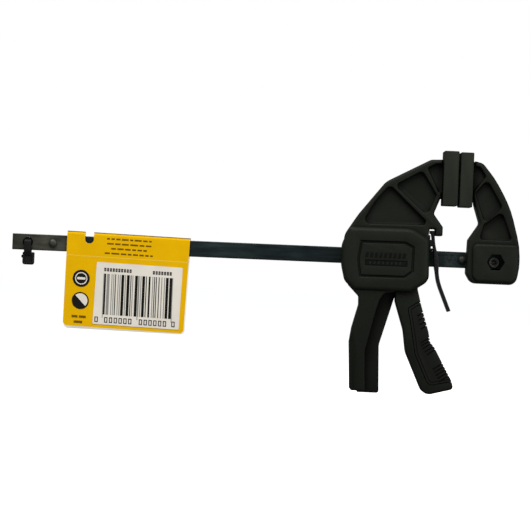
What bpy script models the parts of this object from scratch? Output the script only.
"""A small one-handed trigger bar clamp, as separate pieces with real joints.

Frame: the origin is midway between the two closed pads. +X runs along the bar towards the fixed jaw,
+Z points from the bar towards the pads, and -Y is the front. All lengths are in millimetres until a
mesh is made. An outline is a list of corners (x, z, radius), and each corner becomes an arc.
"""
import math

import bmesh
import bpy
from mathutils import Matrix, Vector

MM = 0.001
ARC_STEP = math.radians(24)
CHAMFER = 0.6
GAP = 0.3
PAST = 1.0  # how far a cutter runs past the face it cuts

# bar
BAR_LEFT = -166.0
BAR_RIGHT = 18.5
BAR_MID_Z = -30.0
BAR_HALF_HEIGHT = 3.0
BAR_HALF_THICK = 2.0
TIE_HOLE_X = -160.2
TIE_HOLE_R = 2.0
STOP_PIN_R = 1.4
STOP_PIN_HALF = 3.2
REAR_STOP_X = -150.8
FRONT_STOP_X = 2.5

# pads
PAD_HALF_GAP = 0.3
PAD_HALF_WIDTH = 8.5
FIXED_PAD_BACK = 5.2
MOVING_PAD_BACK = -5.9
PAD_CHAMFER = 0.4
PAD_FACE_R = 0.5
PAD_BACK_R = 0.3
PAD_TOP = 10.5
PAD_BOTTOM = -10.0
FIXED_PAD_DROP = 0.3

# fixed jaw
JAW_HALF = 6.5
JAW_BLOCK_HALF = 7.5
JAW_POCKET_DEPTH = 1.9
JAW_SCREW_X = 14.9
JAW_SCREW_Z = -30.4
JAW_SCREW_R = 1.8
JAW_SCREW_TIP = -2.8
JAW_SCREW_DIMPLE_R = 1.0
JAW_SCREW_DIMPLE_DEPTH = 0.7
JAW_HEAD_R = 3.2
JAW_HEAD_SEAT = 5.2
JAW_HEAD_HEIGHT = 1.8
JAW_HEAD_SOCKET_R = 1.45
JAW_HEAD_SOCKET_DEPTH = 1.2
HEX_ACROSS_FLATS = 5.8

# clamshell casing
ARM_HALF = 6.5
HOUSING_HALF = 8.5
GRIP_HALF = 7.4
WEB_HALF = 2.3
GUARD_DEPTH = (5.1, 6.3)  # lugs either side of the release lever
CAVITY_HALF = 6.8
ARM_POCKET_DEPTH = 1.9
BADGE_DEPTH = 0.5
BADGE_GROOVE = 0.8
SCREW_R = 1.05
SCREW_HEAD_R = 2.3
SCREW_HEAD_TOP = 6.2
SCREW_HEAD_HEIGHT = 1.4
SCREW_CROSS = (1.3, 0.3)
SCREW_CROSS_DEPTH = 0.7
SCREW_TIP = -4.2
SCREW_BOSS_WALL = 0.7
SCREW_BOSS_INNER = 2.0
BAR_SLOT_REAR = (-50.0, -35.0)
BAR_SLOT_FRONT = (-15.0, 0.0)
SCREW_SPOTS = [
    (-13.9, -4.6, ARM_HALF), (-28.0, -13.5, ARM_HALF), (-37.5, -37.5, HOUSING_HALF),
    (-31.4, -47.2, GRIP_HALF),
]

# trigger, drive plates and springs
PIVOT_X = -17.4
PIVOT_Z = -24.0
PIVOT_PIN_R = 1.5
PIVOT_PIN_HALF = 7.2
TRIGGER_HALF = 6.3
TRIGGER_CORE_HALF = 5.0
TRIGGER_SOFT_DEPTH = 1.6
TRIGGER_SLOT_HALF = 2.8
PLATE_THICK = 1.5
PLATE_FACE_X = -21.0
PLATE_HALF_WIDTH = 5.2
PLATE_HALF_HEIGHT = 6.0
DRIVE_SPRING_X = (-38.2, -25.1)
DRIVE_SPRING_R = 4.3
DRIVE_WIRE_R = 0.5
DRIVE_TURNS = 6

# release lever
LEVER_PIVOT_X = -8.85
LEVER_PIVOT_Z = -20.2
LEVER_HALF_WIDTH = 4.8
LEVER_LIP_LENGTH = 1.0
LEVER_LIP_Z = (-20.7, -19.5)
LEVER_SLOT_X = (-10.0, -4.0)
BRAKE_SPRING_X = (-9.9, -9.15)
BRAKE_SPRING_Z = -24.2
BRAKE_SPRING_R = 1.0
BRAKE_WIRE_R = 0.12
BRAKE_TURNS = 2

# cable tie and hang tag
TIE_HALF_WIDTH = 1.3
TIE_HEAD_HALF = 2.3
TIE_TAIL_X = (-162.5, -161.5)
TIE_TAIL_Z = (-36.0, -34.9)
TIE_TAIL_HALF = 0.8
TAG_CARD = 0.4
TAG_HALF_GAP = 2.5
TAG_LEFT = -145.4
TAG_TOP = -25.15
TAG_FOLD_R = 1.2
TAG_REACH = 50.0  # longer than the card is wide or tall, before it is trimmed
TAG_LEAN = math.radians(1.25)

# outlines
JAW_OUTLINE = [
    (5.5, 7.2, 0.5), (8.8, 6.4, 3.0), (13.4, 0.9, 5.5), (17.0, -5.0, 18), (20.0, -11.0, 20),
    (23.7, -24.1, 20), (23.95, -32.2, 8.5), (22.6, -38.6, 2.6), (6.2, -38.6, 2.4), (4.05, -35.0, 2.0),
    (4.4, -22.4, 1.7), (8.4, -16.2, 2.0), (6.3, -9.8, 3.7), (5.5, -6.4, 0.5),
]
JAW_BLOCK_OUTLINE = [
    (6.0, -23.6, 1.2), (23.0, -23.6, 1.2), (23.5, -31.2, 10), (22.8, -37.8, 1.9), (6.3, -37.8, 1.9),
]
JAW_POCKETS = [
    [(3.6, 5.7, 0), (7.9, 5.0, 0.8), (10.1, 1.3, 0.6), (5.3, -5.0, 0.3), (3.6, -5.0, 0)],
    [(6.1, -4.9, 0.4), (10.6, 0.4, 0.7), (16.7, -9.7, 0.6), (11.8, -15.1, 1.0), (9.7, -14.8, 0.8)],
    [(9.9, -16.4, 0.4), (16.6, -11.3, 0.6), (20.8, -22.2, 0.7), (8.4, -22.2, 0.5)],
]
ARM_OUTLINE = [
    (-6.2, 7.2, 0.3), (-10.7, 7.0, 3.0), (-27.0, -1.75, 6.5), (-36.8, -14.3, 30), (-41.8, -22.2, 6.3),
    (-41.9, -27.2, 0), (-10.4, -27.2, 0), (-10.4, -20.6, 0.3), (-10.15, -18.75, 0.3), (-8.0, -18.75, 0.3),
    (-8.0, -21.4, 0.2), (-5.3, -21.4, 0.5), (-5.3, -18.0, 1.0), (-8.9, -13.2, 1.2), (-6.8, -7.7, 0.3),
    (-6.2, -7.5, 0.2),
]
HOUSING_OUTLINE = [
    (-39.8, -19.2, 2.5), (-42.65, -25.8, 7), (-42.6, -33.4, 12), (-41.1, -39.5, 4.2), (-37.5, -42.8, 1.3),
    (-16.7, -42.8, 1.5), (-13.9, -41.2, 0.8), (-9.75, -38.4, 4.2), (-10.2, -22.8, 1.9), (-16.7, -19.0, 4.3),
]
GUARD_OUTLINES = [
    [(-11.0, -22.9, 0), (-9.05, -22.9, 0.2), (-8.75, -25.4, 0.2), (-11.0, -25.4, 0)],
    [(-11.0, -26.1, 0), (-8.65, -26.1, 0.2), (-8.55, -27.0, 0.2), (-11.0, -27.0, 0)],
]
GRIP_OUTLINE = [
    (-39.7, -41.0, 0), (-35.6, -45.2, 0.8), (-35.5, -48.3, 3.5), (-37.75, -57.0, 4), (-38.5, -62.3, 2.0),
    (-37.65, -80.3, 1.4), (-32.0, -80.3, 0.4), (-32.6, -65.5, 9), (-29.2, -50.9, 20), (-27.9, -46.2, 3),
    (-26.2, -43.6, 2.2), (-22.4, -43.0, 0), (-22.4, -38.3, 0),
]
WEB_OUTLINE = [
    (-31.7, -40.8, 0), (-35.2, -62.3, 0), (-34.9, -81.0, 0.5), (-26.6, -81.0, 1.0), (-27.3, -63.0, 5.5),
    (-22.3, -45.3, 0.5), (-20.8, -44.2, 0.5), (-20.8, -40.8, 0),
]
ARM_POCKETS = [
    [(-25.7, -3.0, 1.0), (-11.6, -16.0, 0.7), (-12.2, -17.6, 0.6), (-35.8, -18.0, 1.4), (-31.2, -9.5, 20)],
    [(-24.0, -3.1, 0.5), (-13.8, 2.8, 0.8), (-8.0, -6.2, 0.6), (-11.3, -14.1, 1.0)],
    [(-12.1, 3.8, 0.5), (-8.8, 5.6, 0.9), (-5.4, 5.6, 0), (-5.4, -5.1, 0), (-7.5, -5.1, 0.4)],
]
CAVITY_OUTLINE = [
    (-38.9, -20.9, 1.0), (-38.9, -33.7, 1.0), (-33.0, -39.3, 1.0), (-26.4, -39.3, 0), (-26.4, -46.3, 0),
    (-13.3, -46.3, 0), (-13.3, -39.9, 0.6), (-12.8, -37.3, 0.8), (-12.8, -20.9, 1.0),
]
BADGE_OUTLINE = [
    (-35.8, -24.2, 0.5), (-19.0, -24.1, 0.8), (-15.6, -25.9, 0.8), (-15.6, -35.3, 0.8), (-18.9, -37.8, 0.8),
    (-35.9, -37.9, 0.5), (-37.0, -31.2, 12),
]
BADGE_BAR = [(-33.9, -31.3, 0.2), (-18.1, -31.3, 0.2), (-18.1, -33.5, 0.2), (-33.9, -33.5, 0.2)]
TRIGGER_OUTLINE = [
    (-20.4, -21.2, 2.9), (-14.4, -21.2, 2.9), (-13.7, -41.7, 0.5), (-12.1, -47.4, 4.0), (-8.8, -57.3, 3.0),
    (-8.1, -61.2, 1.0), (-6.6, -63.1, 1.5), (0.1, -75.2, 1.1), (1.0, -78.4, 1.5), (-10.1, -81.3, 2.7),
    (-17.3, -65.3, 8), (-18.45, -57.2, 8), (-21.9, -46.6, 2.7), (-22.1, -41.7, 2.0), (-19.0, -36.7, 0.8),
    (-19.0, -34.2, 0.8), (-20.7, -31.2, 0.8), (-19.2, -28.2, 0.8),
]
TRIGGER_SLOT = [
    (-26.4, -18.1, 0), (-10.3, -18.1, 0), (-10.3, -36.8, 0), (-15.9, -37.8, 0.5), (-15.2, -46.8, 4),
    (-12.9, -58.4, 12), (-11.5, -66.5, 8), (-7.9, -77.0, 1.0), (-26.4, -77.0, 0),
]
SOFT_OUTLINE = [
    (-17.2, -48.8, 0.5), (-13.7, -46.4, 0), (-5.3, -46.4, 0), (7.9, -75.9, 0), (-0.6, -75.9, 0),
    (-7.5, -77.4, 1.6), (-9.0, -76.2, 1.2), (-13.9, -65.9, 6), (-15.2, -58.4, 15),
]
TAG_FRONT = [(-145.4, -20.0, 0), (-145.8, -60.5, 1.5), (-100.6, -61.9, 1.5), (-99.3, -20.0, 0)]
TAG_BACK = [(-145.4, -20.0, 0), (-145.8, -61.6, 1.5), (-100.3, -62.4, 1.5), (-99.1, -20.0, 0)]
TAG_NOTCH = [(-138.5, -20.0, 0), (-135.9, -20.0, 0), (-135.9, -29.5, 1.0), (-138.5, -29.5, 1.0)]
TIE_STRAP_OUTER = [
    (-3.6, -29.0, 1.0), (3.6, -29.0, 1.0), (3.6, -33.2, 1.5), (2.2, -35.2, 0.5), (-2.2, -35.2, 0.5),
    (-3.6, -33.2, 1.5),
]
TIE_STRAP_INNER = [(-2.7, -29.8, 0.4), (2.7, -29.8, 0.4), (2.7, -33.6, 0.8), (-2.7, -33.6, 0.8)]
TIE_HEAD = [(-162.0, -33.8, 0.4), (-157.7, -33.8, 0.4), (-157.7, -38.5, 0.9), (-162.0, -38.5, 0.9)]
LEVER_LINE = [
    (-8.85, -20.2, 0.55), (-8.3, -24.2, 0.45), (-7.8, -26.6, 0.5), (-7.3, -29.2, 0.8), (-7.0, -32.5, 0.8),
    (-6.7, -35.2, 0.6), (-6.15, -38.2, 0.6), (-5.15, -41.1, 0.6), (-3.6, -44.8, 0.6), (-1.65, -49.4, 0.6),
]

# colours (linear red, green, blue), roughness, metallic
FINISHES = {
    "black_plastic": ((0.013, 0.014, 0.011), 0.5, 0.0),
    "grey_pad": ((0.022, 0.024, 0.019), 0.6, 0.0),
    "soft_grip": ((0.018, 0.019, 0.016), 0.65, 0.0),
    "dark_steel": ((0.012, 0.015, 0.018), 0.35, 0.9),
    "bright_steel": ((0.25, 0.25, 0.24), 0.35, 1.0),
    "tie_plastic": ((0.008, 0.008, 0.008), 0.4, 0.0),
    "yellow_card": ((0.73, 0.41, 0.01), 0.6, 0.0),
}


def material(finish):
    """Material of that finish, made the first time it is asked for."""
    if finish in bpy.data.materials:
        return bpy.data.materials[finish]
    colour, roughness, metallic = FINISHES[finish]
    made = bpy.data.materials.new(finish)
    made.use_nodes = True
    shader = made.node_tree.nodes["Principled BSDF"]
    shader.inputs["Base Color"].default_value = (*colour, 1.0)
    shader.inputs["Roughness"].default_value = roughness
    shader.inputs["Metallic"].default_value = metallic
    return made


def shrunk(corners, distance):
    """The same outline moved inwards by a distance, or outwards if it is negative."""
    places = [Vector(corner[:2]) for corner in corners]
    area = sum(a.x * b.y - b.x * a.y for a, b in zip(places, places[1:] + places[:1]))
    sign = 1 if area > 0 else -1
    moved = []
    for index, place in enumerate(places):
        before = (place - places[index - 1]).normalized()
        after = (places[(index + 1) % len(places)] - place).normalized()
        normal_before = Vector((-before.y, before.x)) * sign
        normal_after = Vector((-after.y, after.x)) * sign
        place = place + (normal_before + normal_after) * distance / (1 + normal_before.dot(normal_after))
        radius = corners[index][2]
        if radius > 0:
            bulge = sign * (before.x * after.y - before.y * after.x)
            radius = max(radius - distance, 0.02) if bulge > 0 else radius + distance
        moved.append((place.x, place.y, radius))
    return moved


def rounded(corners):
    """Points of an outline whose corners (u, w, radius) are turned into arcs."""
    points = []
    for index, (u, w, radius) in enumerate(corners):
        corner = Vector((u, w))
        back = Vector(corners[index - 1][:2]) - corner
        onward = Vector(corners[(index + 1) % len(corners)][:2]) - corner
        if radius == 0:
            points.append(corner)
            continue
        half_angle = back.angle(onward) / 2
        reach = min(radius / math.tan(half_angle), 0.49 * back.length, 0.49 * onward.length)
        radius = reach * math.tan(half_angle)
        middle = back.normalized() + onward.normalized()
        centre = corner + middle.normalized() * radius / math.sin(half_angle)
        spoke = corner + back.normalized() * reach - centre
        end = corner + onward.normalized() * reach - centre
        turn = math.pi - 2 * half_angle
        steps = max(1, math.ceil(turn / ARC_STEP - 0.01))
        if spoke.x * end.y - spoke.y * end.x < 0:
            turn = -turn
        for step in range(steps + 1):
            points.append(centre + Matrix.Rotation(turn * step / steps, 2) @ spoke)
    return points


def circle(u, w, radius, sides=20):
    """Corners of a regular polygon round (u, w)."""
    angles = [2 * math.pi * side / sides for side in range(sides)]
    return [(u + radius * math.cos(angle), w + radius * math.sin(angle), 0) for angle in angles]


def skin(rings):
    """A closed solid through rings of points that all have the same number of points."""
    shape = bmesh.new()
    rows = [[shape.verts.new(Vector(point) * MM) for point in ring] for ring in rings]
    for row, following in zip(rows, rows[1:]):
        for index in range(len(row)):
            after = (index + 1) % len(row)
            shape.faces.new((row[index], row[after], following[after], following[index]))
    shape.faces.new(rows[0][::-1])
    shape.faces.new(rows[-1])
    bmesh.ops.recalc_face_normals(shape, faces=shape.faces)
    mesh = bpy.data.meshes.new("solid")
    shape.to_mesh(mesh)
    shape.free()
    made = bpy.data.objects.new("solid", mesh)
    bpy.context.scene.collection.objects.link(made)
    return made


def prism(corners, low, high, chamfer_low=0.0, chamfer_high=0.0, axis="Y"):
    """An outline drawn out along an axis, with a chamfer round either end."""
    levels = [(low, chamfer_low)]
    if chamfer_low:
        levels.append((low + chamfer_low, 0))
    if chamfer_high:
        levels.append((high - chamfer_high, 0))
    levels.append((high, chamfer_high))
    rings = []
    for level, shrink in levels:
        ring = rounded(shrunk(corners, shrink))
        if axis == "Y":
            rings.append([(point.x, level, point.y) for point in ring])
        else:
            rings.append([(level, point.x, point.y) for point in ring])
    return skin(rings)


def half_prism(corners, side, inner, outer, chamfer=0.0):
    """A prism between two depths on one side of the parting plane; side is -1 at the front."""
    if side < 0:
        return prism(corners, -outer, -inner, chamfer_low=chamfer)
    return prism(corners, inner, outer, chamfer_high=chamfer)


def box(x_range, y_range, z_range):
    """A plain block between three pairs of limits."""
    corners = [(x_range[0], z_range[0], 0), (x_range[1], z_range[0], 0), (x_range[1], z_range[1], 0),
               (x_range[0], z_range[1], 0)]
    return prism(corners, *y_range)


def rod(x, z, radius, low, high, chamfer=0.0, sides=20):
    """A round rod along Y."""
    return prism(circle(x, z, radius, sides), low, high, chamfer, chamfer)


def combine(target, operation, *tools):
    """Join tools to a solid or cut them out of it, and remove them."""
    for tool in tools:
        modifier = target.modifiers.new("combine", "BOOLEAN")
        modifier.operation = operation
        modifier.solver = "EXACT"
        modifier.object = tool
        graph = bpy.context.evaluated_depsgraph_get()
        result = bpy.data.meshes.new_from_object(target.evaluated_get(graph))
        target.modifiers.clear()
        old = target.data
        target.data = result
        bpy.data.meshes.remove(old)
        bpy.data.objects.remove(tool)
    return target


def join(target, *tools):
    return combine(target, "UNION", *tools)


def cut(target, *tools):
    return combine(target, "DIFFERENCE", *tools)


def coil(x_range, z, radius, wire, turns):
    """A compression coil along X round the point z, as a round wire with flat ends."""
    per_turn = 12
    count = turns * per_turn
    rings = []
    for step in range(count + 1):
        angle = 2 * math.pi * step / per_turn
        outward = Vector((0, math.cos(angle), math.sin(angle)))
        along = x_range[0] + wire + (x_range[1] - x_range[0] - 2 * wire) * step / count
        middle = Vector((along, 0, z)) + outward * radius
        sides = [2 * math.pi * side / 6 for side in range(6)]
        rings.append([middle + wire * (outward * math.cos(a) + Vector((math.sin(a), 0, 0))) for a in sides])
    return skin(rings)


def finish(solid, name, finish_name, pivot=(0, 0, 0)):
    """Name a solid, give it its material and put its origin on its joint's axis."""
    mesh = solid.data
    shape = bmesh.new()
    shape.from_mesh(mesh)
    bmesh.ops.remove_doubles(shape, verts=shape.verts, dist=0.002 * MM)
    bmesh.ops.dissolve_degenerate(shape, edges=shape.edges, dist=0.002 * MM)
    shape.to_mesh(mesh)
    shape.free()
    offset = Vector(pivot) * MM
    mesh.transform(Matrix.Translation(-offset))
    solid.location = offset
    solid.name = name
    mesh.name = name
    mesh.materials.clear()
    mesh.materials.append(material(finish_name))
    mesh.shade_smooth()
    mesh.set_sharp_from_angle(angle=math.radians(30))
    return solid


def bar_space():
    """The room that a piece leaves round the bar: half width along Y and the span along Z."""
    half_width = BAR_HALF_THICK + GAP
    half_height = BAR_HALF_HEIGHT + GAP
    return (-half_width, half_width), (BAR_MID_Z - half_height, BAR_MID_Z + half_height)


def make_bar():
    bar = box((BAR_LEFT, BAR_RIGHT), (-BAR_HALF_THICK, BAR_HALF_THICK),
              (BAR_MID_Z - BAR_HALF_HEIGHT, BAR_MID_Z + BAR_HALF_HEIGHT))
    through = BAR_HALF_THICK + PAST
    for x, z, radius in (
        (TIE_HOLE_X, BAR_MID_Z, TIE_HOLE_R),
        (REAR_STOP_X, BAR_MID_Z, STOP_PIN_R + GAP),
        (FRONT_STOP_X, BAR_MID_Z, STOP_PIN_R + GAP),
        (JAW_SCREW_X, JAW_SCREW_Z, JAW_SCREW_R + GAP),
    ):
        cut(bar, rod(x, z, radius, -through, through))
    finish(bar, "bar", "dark_steel")
    for name, x in (("rear_stop_pin", REAR_STOP_X), ("front_stop_pin", FRONT_STOP_X)):
        pin = rod(x, BAR_MID_Z, STOP_PIN_R, -STOP_PIN_HALF, STOP_PIN_HALF, chamfer=0.4)
        finish(pin, name, "dark_steel")


def make_fixed_jaw():
    jaw = prism(JAW_OUTLINE, -JAW_HALF, JAW_HALF, CHAMFER, CHAMFER)
    join(jaw, prism(JAW_BLOCK_OUTLINE, -JAW_BLOCK_HALF, JAW_BLOCK_HALF, CHAMFER, CHAMFER))
    for corners in JAW_POCKETS:
        for side in (-1, 1):
            cut(jaw, half_prism(corners, side, JAW_HALF - JAW_POCKET_DEPTH, JAW_BLOCK_HALF + PAST))
    y_room, z_room = bar_space()
    cut(jaw, box((0, BAR_RIGHT + GAP), y_room, z_room))
    hexagon = circle(JAW_SCREW_X, JAW_SCREW_Z, HEX_ACROSS_FLATS / math.sqrt(3), sides=6)
    outside = JAW_BLOCK_HALF + PAST
    cut(jaw, prism(hexagon, -outside, 0))
    cut(jaw, rod(JAW_SCREW_X, JAW_SCREW_Z, JAW_SCREW_R + GAP, 0, outside))
    cut(jaw, rod(JAW_SCREW_X, JAW_SCREW_Z, JAW_HEAD_R + GAP, JAW_HEAD_SEAT, outside))
    finish(jaw, "fixed_jaw", "black_plastic")


def make_jaw_screw():
    low = JAW_HEAD_SEAT + GAP
    high = low + JAW_HEAD_HEIGHT
    screw = rod(JAW_SCREW_X, JAW_SCREW_Z, JAW_SCREW_R, JAW_SCREW_TIP, low + GAP, chamfer=0.3)
    join(screw, rod(JAW_SCREW_X, JAW_SCREW_Z, JAW_HEAD_R, low, high, chamfer=0.5))
    dimple_floor = JAW_SCREW_TIP + JAW_SCREW_DIMPLE_DEPTH
    cut(screw, rod(JAW_SCREW_X, JAW_SCREW_Z, JAW_SCREW_DIMPLE_R, JAW_SCREW_TIP - PAST, dimple_floor))
    socket = circle(JAW_SCREW_X, JAW_SCREW_Z, JAW_HEAD_SOCKET_R, sides=6)
    cut(screw, prism(socket, high - JAW_HEAD_SOCKET_DEPTH, high + PAST))
    finish(screw, "jaw_screw", "bright_steel")


def pad_block(front, back, drop):
    """A pad between its gripping face and its back, set lower by a drop."""
    top = PAD_TOP - drop
    bottom = PAD_BOTTOM - drop
    corners = [(front, top, PAD_FACE_R), (back, top, PAD_BACK_R), (back, bottom, PAD_BACK_R),
               (front, bottom, PAD_FACE_R)]
    return prism(corners, -PAD_HALF_WIDTH, PAD_HALF_WIDTH, PAD_CHAMFER, PAD_CHAMFER)


def make_pads():
    finish(pad_block(PAD_HALF_GAP, FIXED_PAD_BACK, FIXED_PAD_DROP), "fixed_jaw_pad", "grey_pad")
    finish(pad_block(-PAD_HALF_GAP, MOVING_PAD_BACK, 0), "moving_jaw_pad", "grey_pad")


def make_casing(side, name):
    """One half of the clamshell: the moving jaw's arm, the housing and the handle."""
    parting = GAP / 2
    outside = HOUSING_HALF + PAST
    half = half_prism(ARM_OUTLINE, side, parting, ARM_HALF, CHAMFER)
    join(half, half_prism(HOUSING_OUTLINE, side, parting, HOUSING_HALF, CHAMFER))
    join(half, half_prism(GRIP_OUTLINE, side, parting, GRIP_HALF, CHAMFER))
    for corners in ARM_POCKETS:
        cut(half, half_prism(corners, side, ARM_HALF - ARM_POCKET_DEPTH, outside))
    cut(half, half_prism(CAVITY_OUTLINE, side, -PAST, CAVITY_HALF))
    join(half, half_prism(WEB_OUTLINE, side, parting, WEB_HALF, 0.3))
    for corners in GUARD_OUTLINES:
        join(half, half_prism(corners, side, *GUARD_DEPTH))
    y_room, z_room = bar_space()
    cut(half, box(BAR_SLOT_REAR, y_room, z_room))
    cut(half, box(BAR_SLOT_FRONT, y_room, z_room))
    groove = half_prism(BADGE_OUTLINE, side, HOUSING_HALF - BADGE_DEPTH, outside)
    cut(groove, half_prism(shrunk(BADGE_OUTLINE, BADGE_GROOVE), side, 0, outside + PAST))
    cut(half, groove)
    cut(half, half_prism(BADGE_BAR, side, HOUSING_HALF - BADGE_DEPTH, outside))
    cut(half, rod(PIVOT_X, PIVOT_Z, PIVOT_PIN_R + GAP, -PIVOT_PIN_HALF - GAP, PIVOT_PIN_HALF + GAP))
    seat = SCREW_HEAD_TOP - SCREW_HEAD_HEIGHT - GAP
    for x, z, face in SCREW_SPOTS:
        if side > 0:
            join(half, rod(x, z, SCREW_HEAD_R + SCREW_BOSS_WALL, SCREW_BOSS_INNER, face))
            cut(half, rod(x, z, SCREW_HEAD_R + GAP, seat, outside))
            cut(half, rod(x, z, SCREW_R + GAP, -PAST, seat + PAST))
        else:
            cut(half, rod(x, z, SCREW_R + GAP, SCREW_TIP - GAP, PAST))
    finish(half, name, "black_plastic")


def make_casing_screws():
    seat = SCREW_HEAD_TOP - SCREW_HEAD_HEIGHT
    for number, (x, z, _) in enumerate(SCREW_SPOTS, start=1):
        screw = rod(x, z, SCREW_R, SCREW_TIP, seat + GAP, chamfer=0.3, sides=12)
        join(screw, rod(x, z, SCREW_HEAD_R, seat, SCREW_HEAD_TOP, chamfer=0.4))
        depth = (SCREW_HEAD_TOP - SCREW_CROSS_DEPTH, SCREW_HEAD_TOP + PAST)
        for reach, width in (SCREW_CROSS, SCREW_CROSS[::-1]):
            cut(screw, box((x - reach, x + reach), depth, (z - width, z + width)))
        finish(screw, f"casing_screw_{number}", "bright_steel")


def make_trigger():
    pivot = (PIVOT_X, 0, PIVOT_Z)
    outside = TRIGGER_HALF + PAST
    core = shrunk(TRIGGER_OUTLINE, TRIGGER_SOFT_DEPTH)
    trigger = prism(TRIGGER_OUTLINE, -TRIGGER_HALF, TRIGGER_HALF, CHAMFER, CHAMFER)
    sleeve = prism(SOFT_OUTLINE, -outside, outside)
    cut(sleeve, prism(core, -TRIGGER_CORE_HALF, TRIGGER_CORE_HALF))
    cut(trigger, sleeve)
    cut(trigger, prism(TRIGGER_SLOT, -TRIGGER_SLOT_HALF, TRIGGER_SLOT_HALF))
    cut(trigger, rod(PIVOT_X, PIVOT_Z, PIVOT_PIN_R + GAP, -outside, outside))
    finish(trigger, "trigger", "black_plastic", pivot)

    grip = prism(TRIGGER_OUTLINE, -TRIGGER_HALF, TRIGGER_HALF, CHAMFER, CHAMFER)
    combine(grip, "INTERSECT", prism(shrunk(SOFT_OUTLINE, GAP), -outside, outside))
    cut(grip, prism(shrunk(core, -GAP), -TRIGGER_CORE_HALF - GAP, TRIGGER_CORE_HALF + GAP))
    finish(grip, "trigger_grip", "soft_grip", pivot)

    pin = rod(PIVOT_X, PIVOT_Z, PIVOT_PIN_R, -PIVOT_PIN_HALF, PIVOT_PIN_HALF, chamfer=0.3)
    finish(pin, "trigger_pivot_pin", "bright_steel")


def make_drive():
    y_room, z_room = bar_space()
    for number in (1, 2):
        right = PLATE_FACE_X - (number - 1) * (PLATE_THICK + GAP)
        plate = box((right - PLATE_THICK, right), (-PLATE_HALF_WIDTH, PLATE_HALF_WIDTH),
                    (BAR_MID_Z - PLATE_HALF_HEIGHT, BAR_MID_Z + PLATE_HALF_HEIGHT))
        cut(plate, box((right - PLATE_THICK - PAST, right + PAST), y_room, z_room))
        finish(plate, f"drive_plate_{number}", "bright_steel")
    spring = coil(DRIVE_SPRING_X, BAR_MID_Z, DRIVE_SPRING_R, DRIVE_WIRE_R, DRIVE_TURNS)
    finish(spring, "drive_spring", "bright_steel")


def make_release_lever():
    line = [Vector(point[:2]) for point in LEVER_LINE]
    left, right = [], []
    for index, point in enumerate(line):
        before = line[max(index - 1, 0)]
        after = line[min(index + 1, len(line) - 1)]
        along = (after - before).normalized()
        sideways = Vector((-along.y, along.x)) * LEVER_LINE[index][2]
        left.append(point - sideways)
        right.append(point + sideways)
    outline = [(point.x, point.y, 0) for point in left + right[::-1]]
    strip = prism(outline, -LEVER_HALF_WIDTH, LEVER_HALF_WIDTH)
    lip = (LEVER_PIVOT_X - LEVER_LIP_LENGTH, LEVER_PIVOT_X + LEVER_LINE[0][2])
    join(strip, box(lip, (-LEVER_HALF_WIDTH, LEVER_HALF_WIDTH), LEVER_LIP_Z))
    y_room, z_room = bar_space()
    cut(strip, box(LEVER_SLOT_X, y_room, z_room))
    finish(strip, "release_lever", "dark_steel", (LEVER_PIVOT_X, 0, LEVER_PIVOT_Z))
    spring = coil(BRAKE_SPRING_X, BRAKE_SPRING_Z, BRAKE_SPRING_R, BRAKE_WIRE_R, BRAKE_TURNS)
    finish(spring, "brake_spring", "bright_steel")


def make_cable_tie():
    """A ring of strap through the bar's end hole, closed by its head below the bar."""
    low = TIE_HOLE_X - TIE_HALF_WIDTH
    high = TIE_HOLE_X + TIE_HALF_WIDTH
    tie = prism(TIE_STRAP_OUTER, low, high, axis="X")
    cut(tie, prism(TIE_STRAP_INNER, low - PAST, high + PAST, axis="X"))
    join(tie, prism(TIE_HEAD, -TIE_HEAD_HALF, TIE_HEAD_HALF, 0.3, 0.3))
    join(tie, box(TIE_TAIL_X, (-TIE_TAIL_HALF, TIE_TAIL_HALF), TIE_TAIL_Z))
    finish(tie, "cable_tie", "tie_plastic", (TIE_HOLE_X, 0, BAR_MID_Z))


def make_hang_tag():
    """A folded card over the bar, leaning a little, with a hanging notch in its fold."""
    inner = TAG_HALF_GAP
    outer = TAG_HALF_GAP + TAG_CARD
    left = TAG_LEFT - PAST
    right = TAG_LEFT + TAG_REACH
    bottom = TAG_TOP - TAG_REACH
    under_fold = TAG_TOP - TAG_CARD
    fold_inside_r = TAG_FOLD_R - TAG_CARD
    profile = [(-outer, bottom, 0), (-outer, TAG_TOP, TAG_FOLD_R), (outer, TAG_TOP, TAG_FOLD_R),
               (outer, bottom, 0), (inner, bottom, 0), (inner, under_fold, fold_inside_r),
               (-inner, under_fold, fold_inside_r), (-inner, bottom, 0)]
    tag = prism(profile, left, right, axis="X")
    corner = Vector((TAG_LEFT, 0, TAG_TOP)) * MM
    lean = Matrix.Rotation(TAG_LEAN, 4, "Y")
    tag.data.transform(Matrix.Translation(corner) @ lean @ Matrix.Translation(-corner))
    trim = prism(TAG_FRONT, -outer - PAST, 0)
    join(trim, prism(TAG_BACK, -GAP, outer + PAST))
    combine(tag, "INTERSECT", trim)
    cut(tag, prism(TAG_NOTCH, -outer - PAST, outer + PAST))
    finish(tag, "hang_tag", "yellow_card")


def main():
    for old in list(bpy.data.objects):
        bpy.data.objects.remove(old)
    make_bar()
    make_fixed_jaw()
    make_jaw_screw()
    make_pads()
    make_casing(-1, "casing_front")
    make_casing(1, "casing_rear")
    make_casing_screws()
    make_trigger()
    make_drive()
    make_release_lever()
    make_cable_tie()
    make_hang_tag()


main()
